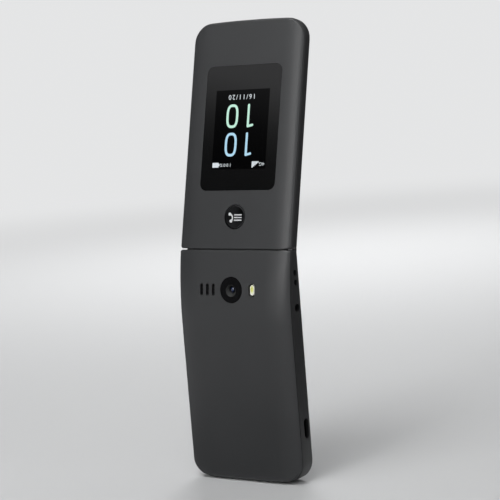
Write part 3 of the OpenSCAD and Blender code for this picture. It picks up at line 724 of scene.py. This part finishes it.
# A number key has its digit at the left and its letters, or its sign, at the right.
letters_of = ["+", "", "abc", "def", "ghi", "jkl", "mno", "pqrs", "tuv", "wxyz"]
legends = {f"key_{digit}": [moved(lettering(text, size), right, up) for text, size, right, up in
                            ((str(digit), 4.3, -2.6, 0), (letters, 2.0, 2.6, -0.1)) if text]
           for digit, letters in enumerate(letters_of)}
legends |= {
    "key_star": [moved(lettering("*", 6.0), 0, -0.9)],
    "key_hash": [lettering("#", 3.9)],
    "key_soft_left": [line((-1.5, 0), (1.5, 0), width=0.42)],
    "key_soft_right": [line((-1.5, 0), (1.5, 0), width=0.42)],
    "key_camera": [oval((0, 0), 3.8, 2.7, 0.26, 8), oval((0, 0), 1.5, 1.5, 0.26),
                   line((-0.7, 1.5), (0.7, 1.5))],
    "key_message": [oval((0, 0), 3.6, 2.5, 0.26, 8), line((-1.6, 1.0), (0, -0.25), (1.6, 1.0), width=0.26)],
    "key_call": [moved(handset(4.2), 0, 0, turn=-40)],
    "key_back": [line((-1.5, 0.5), (1.0, 0.5)), bend((1.0, -0.35), 0.85),
                 line((1.0, -1.2), (-0.4, -1.2)), line((-0.7, 1.3), (-1.55, 0.5), (-0.7, -0.3))],
    "key_end": [moved(handset(4.2), 0, 0.4, turn=180)],
}
legend_colours = {"key_call": legend_green, "key_end": legend_red}

for node, shapes in legends.items():
    low, high = extent(node)
    low[[0, 2]] += key_flange
    high[[0, 2]] -= key_flange
    width, length = high[0] - low[0], high[2] - low[2]
    centre = middle(node)
    surface = key_surface(low, high)
    back = high[1] - nub_length
    front = back - flange_thickness
    levels = [(None, back), (-key_flange, back), (-key_flange, front), (0, front), (0, low[1] + 0.5),
              (0.05, low[1] + 0.36)]
    levels += [(inset, surface) for inset in (0.22, 0.5, 1.0, 1.8, 2.6, length / 2 - 0.1, None)]
    nub = [(0, back - 0.1), (1, back - 0.1), (1, high[1] - 0.1), (0.8, high[1]), (0, high[1])]
    cap = [crowned(centre, width, length, key_corner, levels), turned(centre, nub, 32)]
    stand_in(node + "_cap", cap, key_plastic, node)
    printed(node + "_legend", shapes, centre, surface, legend_colours.get(node, legend_white), node)


# ---- Navigation ring and OK key ----
# An aluminium ring, turned on a lathe and blackened, so fine grooves run round it. Four small marks
# show where it is pressed. The OK key in its middle is a key cap.

def spun_metal(name, colour, roughness, grooves):
    """Lathe-turned metal: light spreads across the grooves, whose run the UV map gives. Noise drawn out
    round the map is their height and drifts the tone."""
    material, tree, shader = finish(name, colour, roughness, 1.0, Anisotropic=0.85)
    run = add(tree, "Tangent", direction_type="UV_MAP", uv_map="turning")
    around = add(tree, "UVMap", uv_map="turning")
    drawn_out = add(tree, "Mapping", {"Vector": around, "Scale": (3, grooves, 1)})
    lines = add(tree, "TexNoise", {"Vector": drawn_out, "Scale": 1, "Detail": 3})
    connect(shader, {"Tangent": run, "Base Color": drifted(tree, lines, colour, 0.8, 1.25),
                     "Normal": bumped(tree, lines, 0.2, 0.01)})
    return material


def about(centre, depth_at):
    """A surface of revolution over (across, along), from its depth at a radius about centre."""
    return lambda across, along: depth_at(np.hypot(across - centre[0], along - centre[1]))


spun_black = spun_metal("spun black aluminium", (0.11, 0.112, 0.116), 0.30, 90)
ring_low, ring_high = extent("nav_ring")
ok_low, ok_high = extent("key_ok")
ring_centre = middle("nav_ring")
ring_radius = (ring_high[0] - ring_low[0]) / 2 - key_flange
ok_radius = (ok_high[0] - ok_low[0]) / 2
ring_inner = ok_radius + 0.3
ring_back = ring_high[1] - nub_length
ring_front = ring_back - flange_thickness
mark_radius = (ring_inner + ring_radius) / 2 + 0.7


def ring_depth(radius):
    """The ring's top: a shallow dish, highest at its outer lip and rounded down at both edges."""
    share = (radius - ring_inner) / (ring_radius - ring_inner)
    lip = np.clip((share - 0.9) / 0.1, 0, 1) ** 2 * 0.22 + np.clip((0.06 - share) / 0.06, 0, 1) ** 2 * 0.12
    return ring_low[1] + 0.18 * (1 - share) ** 1.5 + lip


def ok_depth(radius):
    """The OK key's top: a shallow crown."""
    return ok_low[1] + 0.02 + 0.12 * (radius / ok_radius) ** 2


ring_top = np.linspace(ring_radius, ring_inner, 28)
ring_profile = [(ring_inner, ring_back), (ring_radius + key_flange, ring_back),
                (ring_radius + key_flange, ring_front), (ring_radius, ring_front),
                *zip(ring_top, ring_depth(ring_top)), (ring_inner, ring_back)]
stand_in("nav_ring_turned", [turned(ring_centre, ring_profile, 128)], spun_black, "nav_ring")

chevron = stroke([(-0.55, -0.28), (0, 0.28), (0.55, -0.28)], 0.22)
marks = [moved(chevron, mark_radius * right, mark_radius * up, turn=turn)
         for right, up, turn in ((0, 1, 0), (1, 0, -90), (0, -1, -180), (-1, 0, -270))]
printed("nav_ring_marks", marks, ring_centre, about(ring_centre, ring_depth), legend_white, "nav_ring")

ok_profile = [(0, ring_back), (ok_radius, ring_back), (ok_radius, ok_low[1] + 0.4),
              (ok_radius - 0.06, ok_low[1] + 0.26)]
ok_profile += [(radius, ok_depth(radius))
               for radius in (ok_radius - 0.25, ok_radius * 0.8, ok_radius * 0.6, ok_radius * 0.3, 0)]
stand_in("key_ok_cap", [turned(ring_centre, ok_profile)], key_plastic, "key_ok")
printed("key_ok_legend", [lettering("OK", 2.7)], ring_centre, about(ring_centre, ok_depth),
        legend_white, "key_ok")


# ---- Volume rocker ----
# A long rocker moulded in the covers' grey, proud of the side wall.
# It tips on a pin behind the wall.

skin("volume_rocker", shell_plastic)


# ---- Camera ----
# A polished black disc, flush with the cover. A matt funnel in it narrows to a grey ring, and in that
# sits a small domed lens with a blue coating. The camera's black housing is below it on the board.

polished_black = moulded("polished black", (0.0045, 0.0045, 0.005), 0.12, grain=300, depth=0.001, drift=0.1,
                         Coat_Weight=0.3, Coat_Roughness=0.05)
funnel_black = moulded("matt black funnel", (0.013, 0.014, 0.0135), 0.75, grain=1800, depth=0.01)
lens_coating = moulded("blue lens coating", (0.006, 0.016, 0.060), 0.05, grain=200, depth=0.001, drift=0.2,
                       Coat_Weight=1.0, Coat_Roughness=0.02)
lens_ring_grey = brushed("lens ring", (0.012, 0.012, 0.013), 0.5)
camera_disc = skin("camera_bezel", polished_black).data
camera_disc.materials.append(funnel_black)
slope = read(camera_disc.polygons, "normal") @ half_axes["base"][1]
camera_disc.polygons.foreach_set("material_index", ((slope > 0.5) & (slope < 0.8)).astype(np.int32))

camera_centre = middle("camera_bezel")
lens_low, lens_high = extent("camera_lens")
lens_radius = (lens_high[0] - lens_low[0]) / 2
lens_foot = lens_low[1] + 0.05
lens_top = lens_high[1]
dome_radius = lens_radius * 0.62
dome = [(dome_radius * math.sin(a), lens_top - 0.1 + 0.42 * math.cos(a))
        for a in np.radians(np.linspace(0, 90, 12))]
dome += [(dome_radius, lens_foot), (0, lens_foot)]
stand_in("camera_lens_dome", [turned(camera_centre, dome, 64)], lens_coating, "camera_lens")
ring_section = [(lens_radius - 0.02, lens_foot), (lens_radius - 0.02, lens_top + 0.20),
                (lens_radius - 0.1, lens_top + 0.26), (dome_radius + 0.1, lens_top - 0.05),
                (dome_radius + 0.02, lens_top - 0.15), (dome_radius + 0.02, lens_foot)]
lens_ring = turned(camera_centre, ring_section + ring_section[:1], 64)
piece("camera_lens_ring", [lens_ring], lens_ring_grey, "camera_bezel")


# ---- Flash ----
# A pill of clear plastic over a yellow lamp, a little below the cover in a dark well. The lamp's block
# stands on the circuit board. The pill also gives off a faint painted glow in its own yellow and white,
# though the lamp is not lit.

flash_low, flash_high = extent("flash_lens")
flash_centre = middle("flash_lens")
lamp_centre = placed("base", np.array([flash_centre[0], flash_high[1], flash_centre[1]]) / 1000)
lamp_block_top = 6.4
flash_plastic = moulded("flash diffuser", (0.86, 0.85, 0.74), 0.22, grain=900, depth=0.02, drift=0.05)
tree = flash_plastic.node_tree
lamp_size = {"Location": lamp_centre + (0, 0, 0.0004), "Scale": (0.0011, 1, 0.0021)}
about_lamp = add(tree, "Mapping", {"Vector": own_place(tree)} | lamp_size, vector_type="TEXTURE")
from_lamp = add(tree, "VectorMath", {0: about_lamp}, operation="LENGTH")
# Painted glow: the pill's colour, yellow over the lamp and white round it, is also given off as a faint emission,
# though the lamp is off.
glow = ramp(tree, from_lamp, [(0.3, (0.60, 0.62, 0.12)), (1.0, (0.80, 0.80, 0.72))])
connect(tree.nodes["Principled BSDF"],
        {"Base Color": glow, "Emission Color": glow, "Emission Strength": 0.12})

back_y = extent("rear_cover")[1][1]
fall_start = 31.5
fall_radius = 115.0


def under_back(sunk):
    """The battery cover's outer surface, sunk mm deeper: flat, then a round fall towards the hinge."""
    def depth(across, along):
        fall = np.clip(fall_start - along, 0, None)
        return back_y - (fall_radius - np.sqrt(fall_radius ** 2 - fall ** 2)) - sunk
    return depth


pill = [(None, lamp_block_top), (0, lamp_block_top), (0, under_back(0.58)), (0.08, under_back(0.44)),
        (0.25, under_back(0.38)), (0.6, under_back(0.35)), (None, under_back(0.35))]
lamp_block = slab(flash_low, (flash_high[0], lamp_block_top + 0.01, flash_high[2]), 0.2)
flash_pill = crowned(flash_centre, width=2.1, length=4.5, radius=1.04, levels=pill, steps=40)
stand_in("flash_diffuser", [flash_pill, lamp_block], flash_plastic, "flash_lens")


# ---- Battery cover ----
# The whole back of the lower half, a thin shell in the same grey that clips over the chassis. Its long
# edges are well rounded, but its far edge is nearly square, drawn out over the solid's rounder edge.

seam_inset = 0.35
far_edge = 1.0
far_corner = 9.5
far_crown = 0.4
seam_opening = 0.22


def turned_outwards(mesh, direction):
    """Whether any face at each point of a mesh looks along a direction."""
    sides = read(mesh.polygons, "loop_total", 1, np.int32)[:, 0]
    most = np.full(len(mesh.vertices), -1.0)
    np.maximum.at(most, read(mesh.loops, "vertex_index", 1, np.int32)[:, 0],
                  np.repeat(read(mesh.polygons, "normal") @ direction, sides))
    return most > 0.02


def quarter_ellipse(inset, width):
    """Height, 0 to 1, of a quarter-ellipse edge of a width at an inset from its foot."""
    return np.sqrt(1 - np.clip(1 - inset / width, 0, 1) ** 2)


def cover_form(half, foot, rear, side_edge, pillow):
    """Moves the points of a cover's edge, a quarter ellipse from the seam at depth foot to the back at
    depth rear. Its width becomes far_edge at the far end and pillow along the sides, and its foot is
    lifted to open the seam."""
    reach = extent(half + "_frame")[1]
    corner = reach[0] - far_corner, reach[2] - far_crown - far_corner

    def reshape(points, mesh):
        x, y, z = ((points - hinge) @ half_axes[half].T * 1000).T
        climb = 1 - np.sqrt(1 - np.clip((y - foot) / (rear - foot), 0, 1) ** 2)
        inset, new_inset = seam_inset + side_edge * climb, seam_inset + far_edge * climb
        right, up = np.abs(x) - corner[0], z - corner[1]
        at_end = reach[2] - far_crown * (x / corner[0]) ** 2 - z
        found = np.where(right > 0, far_corner - np.hypot(right, up), at_end)
        outer = (np.abs(found - inset) < 0.08) & (up > -0.01) & (y > foot - 0.01)
        start = np.arccos((far_corner - inset) / (far_corner - new_inset))
        turn = start + (1 - start * 2 / math.pi) * np.arctan2(up, right)
        radius = far_corner - new_inset
        new_x = np.where(right > 0, np.sign(x) * (corner[0] + radius * np.cos(turn)), x)
        new_z = np.where(right > 0, corner[1] + radius * np.sin(turn), z + inset - new_inset)
        outwards = turned_outwards(mesh, half_axes[half][1])
        seam = foot - (0.75 * (rear - under_back(0)(x, z)) if half == "base" else 0)
        side_inset = np.clip(reach[0] - seam_inset - np.abs(np.where(outer, new_x, x)), 0.01, None)
        share = quarter_ellipse(side_inset, pillow) / quarter_ellipse(side_inset, side_edge)
        y = np.where(outwards & (y > seam), seam + (y - seam) * share, y)
        y = np.where(outwards & (np.abs(y - seam) < 0.03), y + seam_opening, y)
        return placed(half, np.stack([np.where(outer, new_x, x), y, np.where(outer, new_z, z)], -1) / 1000)
    return reshape


def lengthwise(first, last):
    """Eight cuts on each side, at x from first to last mm and closer towards the edge, in m."""
    steps = first + (last - first) * np.sin(np.linspace(0, math.pi / 2, 8))
    return np.concatenate([steps, -steps]) / 1000


rear_form = cover_form("base", foot=8.5, rear=11.5, side_edge=5.0, pillow=12)
skin("rear_cover", shell_plastic, rear_form, lengthwise(16.7, 23.6))


# ---- Loudspeaker mesh ----
# A woven cloth of black-coated wire.
# It is stuck behind the battery cover's three slots to keep dust out.

def wire_cloth(name, colour, wires_per_metre):
    """Woven wire: two waves at right angles give its height; the holes are painted near black, as painted shade.
    """
    material, tree, shader = finish(name, colour, 0.4, 0.8)
    wires = {"Vector": own_place(tree), "Scale": wires_per_metre / 20}
    warp, weft = (add(tree, "TexWave", wires, bands_direction=axis).outputs["Fac"] for axis in "XZ")
    cloth = add(tree, "Math", {0: warp, 1: weft}, operation="MAXIMUM")
    # Painted shade: where no wire lies, the colour is near black, standing in for the dark space behind the cloth.
    connect(shader, {"Base Color": ramp(tree, cloth, [(0.45, (0.002, 0.002, 0.002)), (0.75, colour)]),
                     "Normal": bumped(tree, cloth, 0.5, 0.04)})
    return material


dress(wire_cloth("black wire cloth", (0.018, 0.018, 0.019), 4000), "speaker_mesh")


# ---- Lid frame ----
# The lid's inner moulding, as dark as the chassis. It carries the hinge barrel, and the screen and its
# board sit in trays on its two sides.

skin("lid_frame", frame_plastic)


# ---- Inner screen ----
# A pane of toughened glass with a black printed border over the display, recessed in the lid frame.
# The dark display shows through as a slightly bluer, deeper field.

def field(node, width, length, radius, low, high, material):
    """A thin rounded plate in the middle of a display, from depth low to depth high."""
    levels = [(None, low), (0, low), (0, high), (None, high)]
    plate = crowned(middle(node), width, length, radius, levels, steps=24)
    piece(node + "_field", [plate], material, node)


glass_black = moulded("printed glass", (0.0035, 0.0035, 0.004), 0.06, grain=150, depth=0.0005, drift=0.15,
                      Coat_Weight=0.3, Coat_Roughness=0.02)
skin("inner_window", glass_black)
screen_dark = moulded("dark display", (0.0035, 0.0045, 0.0065), 0.10, grain=9000, depth=0.002, drift=0.25)
dress(screen_dark, "main_display")
pane_face = extent("inner_window")[0][1]
view_low, view_high = extent("main_display")
view_width, _, view_length = view_high - view_low - 3
field("main_display", view_width, view_length, radius=0.4, low=pane_face + 0.03, high=pane_face - 0.012,
      material=screen_dark)


# ---- Earpiece mesh ----
# A fine cloth of bare steel wire.
# It is glued into the slot of the inner pane, over the earpiece.

dress(wire_cloth("steel wire cloth", (0.20, 0.20, 0.205), 4500), "earpiece_mesh")


# ---- Bumpers ----
# Two soft silicone feet stuck to the corners of the pane. They meet the keypad housing when the phone
# is shut and hold the gap.

bumper_rubber = moulded("bumper rubber", (0.010, 0.010, 0.011), 0.7, grain=1500, depth=0.03)
feet_low, feet_high = extent("lid_bumpers")
foot_radius = (feet_high[2] - feet_low[2]) / 2
foot_height = feet_high[1] - feet_low[1]
foot_shares = [(0, 0), (0.5, 0.0), (0.78, 0.06), (0.93, 0.2), (1.0, 0.42), (1.0, 1.0), (0, 1.0)]
foot_profile = [(foot_radius * out, feet_low[1] + foot_height * up) for out, up in foot_shares]
feet = [turned((side * (feet_high[0] - foot_radius), middle("lid_bumpers")[1]), foot_profile, 40)
        for side in (-1, 1)]
stand_in("lid_bumper_feet", feet, bumper_rubber, "lid_bumpers")


# ---- Outer cover ----
# The lid's back, in the same satin grey as the battery cover, with rounded long edges. It is glued
# and clipped to the lid frame, and a fine dark seam shows along its sides.

lid_form = cover_form("lid", foot=4.84, rear=6.64, side_edge=3.8, pillow=9)
skin("lid_cover", shell_plastic, lid_form, lengthwise(19.7, 24.8))


# ---- Outer window ----
# A flat pane flush with the cover. Its border is printed in a smoky black ink on the inside, and the
# clear part in the middle shows the small screen.

border_ink = moulded("smoky border ink", (0.0018, 0.0019, 0.0020), 0.12, grain=1200, depth=0.001, drift=0.06,
                     Coat_Weight=0.8, Coat_Roughness=0.03)
skin("outer_window", border_ink)
screen_black = moulded("lit screen black", (0.0010, 0.0010, 0.0012), 0.05, grain=9000, depth=0.0005,
                       drift=0.1, Specular_IOR_Level=0.2)
window_face = extent("outer_window")[1][1]
lit_face = window_face + 0.006
field("outer_display", width=28.0, length=35.0, radius=0.3, low=window_face - 0.05, high=lit_face,
      material=screen_black)


# ---- Outer display ----
# A small liquid crystal screen behind the window, with a date line, a two-row clock and a bottom row of
# symbols: signal, battery and its charge. The lit dots are shown by a fine grid of dark lines.

# Screen dots: 0 on the dark lines between the dots and 1 on the dots, over two directions.
screen_dots, given, group_end = effect("screen dots", {"Dots per metre": 6300}, ["Lit"])
split = add(screen_dots, "SeparateXYZ", {"Vector": given["Vector"]}).outputs
nearest_line = add(screen_dots, "Math", operation="MINIMUM")
for number, axis in enumerate("XZ"):
    scaled = add(screen_dots, "Math", {0: split[axis], 1: given["Dots per metre"]}, operation="MULTIPLY")
    connect(nearest_line, {number: add(screen_dots, "Math", {0: scaled, 1: 0.5}, operation="PINGPONG")})
dot_edge = {"Value": nearest_line, "From Min": 0.02, "From Max": 0.14, "To Min": 0.55}
connect(group_end, {"Lit": add(screen_dots, "MapRange", dot_edge)})


def lit(name, colour):
    """Lit screen content: the glow is dimmed on the lines between the dots."""
    material, tree, shader = finish(name, (0.002, 0.002, 0.002), 0.08)
    levelled = add(tree, "Mapping", {"Vector": own_place(tree), "Rotation": (-lean, 0, 0)})
    dots = add(tree, "Group", {"Vector": levelled, "Dots per metre": 6300}, node_tree=screen_dots)
    connect(shader, {"Emission Color": mixed(tree, dots, (0, 0, 0), colour), "Emission Strength": 1.0})
    return material


def ten(right, distance, apart):
    """A tall ten, apart mm from the one to the nought: an upright with a slanted flag, and an oval with
    nearly straight sides."""
    one = [stroke([(0.8, -4.65), (0.8, 4.65)], 1.1), stroke([(0.65, 4.62), (-1.5, 4.15)], 1.05)]
    return [moved(shape, right, -distance) for shape in one] + [
        oval((right + apart, -distance), 6.2, 10.5, 1.15, 2.9)]


def tile(right, up, width, height, corner=0.1):
    """A filled rounded rectangle."""
    grid = np.empty((4, 24, 3))
    grid[..., :2] = rounded(width, height, corner, 24) + (right, up)
    grid[[0, 3], :, :2] = (right, up)
    grid[..., 2] = np.array([1, 1, 0, 0])[:, None]
    return woven(grid)


# What the screen shows, as flat shapes (right, up) from the hinge's middle, in three pale tints.
symbol_row = -36.3
date_line = moved(lettering("16/11/20", 3.1, 1.3), 0.3, -66.3)
network = moved(lettering("4G", 2.2), -12.1, -36.5)
charge = moved(lettering("100%", 2.1, 1.45), 6.7, symbol_row)
battery_cell = [tile(12.0, symbol_row, 3.3, 2.1, 0.25), tile(10.1, symbol_row, 0.5, 0.9)]
signal = [tile(-7.3 - step, symbol_row - (2.7 - rise) / 2, 0.62, rise)
          for step, rise in zip(np.arange(5) * 0.72, np.linspace(2.7, 0.7, 5))]
for name, shapes, tint, colour in (
        ("clock_hours", ten(-4.3, 45.25, 9.0), "pale blue", (0.50, 0.79, 0.98)),
        ("clock_minutes", ten(-4.4, 57.8, 9.2), "pale green", (0.62, 0.96, 0.80)),
        ("status_row", [date_line, charge, network] + battery_cell + signal, "white", (0.80, 0.86, 0.90))):
    printed(name, shapes, (0, 0), lambda across, along: across * 0 + lit_face, lit("lit " + tint, colour),
            "outer_display", outwards=1)


# ---- Lid button ----
# A round button turned from aluminium and blackened, slightly dished, in a ring-shaped gap in the
# cover. Its chamfer is polished a little brighter. A handset and a list are printed on it in white.

button_low, button_high = extent("lid_button")
button_centre = middle("lid_button")
button_radius = 5.3
dish_radius = button_radius - 0.7
button_flange = (button_high[0] - button_low[0]) / 2
cover_face = extent("lid_cover")[1][1]
flange_top = cover_face - 1.4
flange_foot = flange_top - 0.4
spun_dark = spun_metal("spun dark aluminium", (0.022, 0.0225, 0.0235), 0.28, 60)
spun_bright = spun_metal("bright chamfer", (0.045, 0.046, 0.048), 0.25, 20)


def dish(radius):
    """The button's top: a shallow dish that is lowest in the middle."""
    return cover_face - 0.15 + 0.2 * (radius / dish_radius) ** 2


face_profile = [(radius, dish(radius)) for radius in np.linspace(0, dish_radius, 24)]
edge_profile = [(dish_radius, cover_face + 0.05), (button_radius - 0.45, cover_face + 0.03),
                (button_radius - 0.2, cover_face), (button_radius, cover_face - 0.2)]
under_profile = [(button_radius, cover_face - 0.2), (button_radius, flange_top), (button_flange, flange_top),
                 (button_flange, flange_foot), (1, flange_foot), (1, button_low[1]), (0, button_low[1])]
for name, profile, material in (("face", face_profile, spun_dark), ("chamfer", edge_profile, spun_bright)):
    piece("lid_button_" + name, [turned(button_centre, profile, 128)], material, "lid_button")
under = turned(button_centre, under_profile, 64)
stand_in("lid_button_body", [under], frame_plastic, "lid_button")

glyph = [moved(handset(3.7), 2.0, 0.2, turn=-75)]
glyph += [line((-3.4, up), (0.3, up), width=0.5) for up in (1.4, 0.25, -0.9)]
printed("lid_button_glyph", glyph, button_centre, about(button_centre, dish), legend_white, "lid_button",
        outwards=1)
